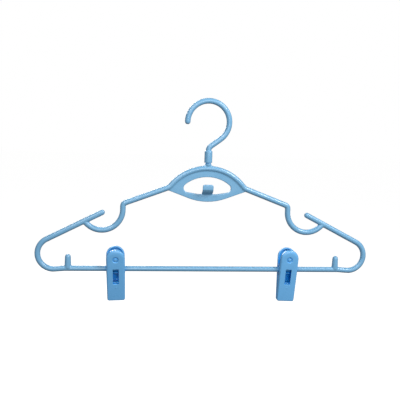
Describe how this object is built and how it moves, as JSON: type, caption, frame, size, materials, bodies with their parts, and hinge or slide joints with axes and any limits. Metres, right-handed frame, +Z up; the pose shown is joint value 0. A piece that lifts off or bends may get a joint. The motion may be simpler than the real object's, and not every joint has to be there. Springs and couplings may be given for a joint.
{
  "type": "clothes hanger",
  "caption": "Moulded plastic skirt and trouser hanger with a swivelling hook, strap notches, an accessory lip and two sliding spring clips.",
  "frame": {"origin": "the place where the hook rests on a rod, on the swivel axis", "axes": "+X along the bar to the hanger's own right as seen from the front, +Y from front to back, +Z up along the swivel axis"},
  "size_m": [0.4196, 0.0249, 0.2549],
  "materials": {
    "frame_plastic": "satin gloss moulded plastic, light sky blue",
    "clip_plastic": "satin gloss moulded plastic, a little deeper sky blue",
    "spring_steel": "drawn spring wire"
  },
  "bodies": {
    "hook": {"hook": "frame_plastic"},
    "frame": {"frame": "frame_plastic"},
    "left_clip_slider": {"left_clip_spring_coil": "spring_steel"},
    "left_clip_back": {"left_clip_back_jaw": "clip_plastic", "left_clip_spring_back_leg": "spring_steel"},
    "left_clip_front": {"left_clip_front_jaw": "clip_plastic", "left_clip_spring_front_leg": "spring_steel"},
    "right_clip_slider": {"right_clip_spring_coil": "spring_steel"},
    "right_clip_back": {"right_clip_back_jaw": "clip_plastic", "right_clip_spring_back_leg": "spring_steel"},
    "right_clip_front": {"right_clip_front_jaw": "clip_plastic", "right_clip_spring_front_leg": "spring_steel"}
  },
  "joints": [
    {"name": "hook_swivel", "type": "hinge", "parent": "hook", "child": "frame", "pos_m": [0, 0, -0.067], "axis": [0, 0, 1], "continuous": true},
    {"name": "left_clip_slide", "type": "slide", "parent": "frame", "child": "left_clip_slider", "axis": [1, 0, 0], "range_m": [-0.041, 0.098]},
    {"name": "left_clip_swing", "type": "hinge", "parent": "left_clip_slider", "child": "left_clip_back", "pos_m": [-0.111, 0, -0.2065], "axis": [1, 0, 0], "continuous": true},
    {"name": "left_clip_open", "type": "hinge", "parent": "left_clip_back", "child": "left_clip_front", "pos_m": [-0.111, 0, -0.2065], "axis": [-0.9994, 0, -0.0349], "range_deg": [0, 24], "stiffness_Nm_per_rad": 0.25, "springref_deg": -28.65},
    {"name": "right_clip_slide", "type": "slide", "parent": "frame", "child": "right_clip_slider", "axis": [1, 0, 0], "range_m": [-0.093, 0.045]},
    {"name": "right_clip_swing", "type": "hinge", "parent": "right_clip_slider", "child": "right_clip_back", "pos_m": [0.1068, 0, -0.2065], "axis": [1, 0, 0], "continuous": true},
    {"name": "right_clip_open", "type": "hinge", "parent": "right_clip_back", "child": "right_clip_front", "pos_m": [0.1068, 0, -0.2065], "axis": [-0.9996, 0, 0.0297], "range_deg": [0, 24], "stiffness_Nm_per_rad": 0.25, "springref_deg": -28.65}
  ]
}
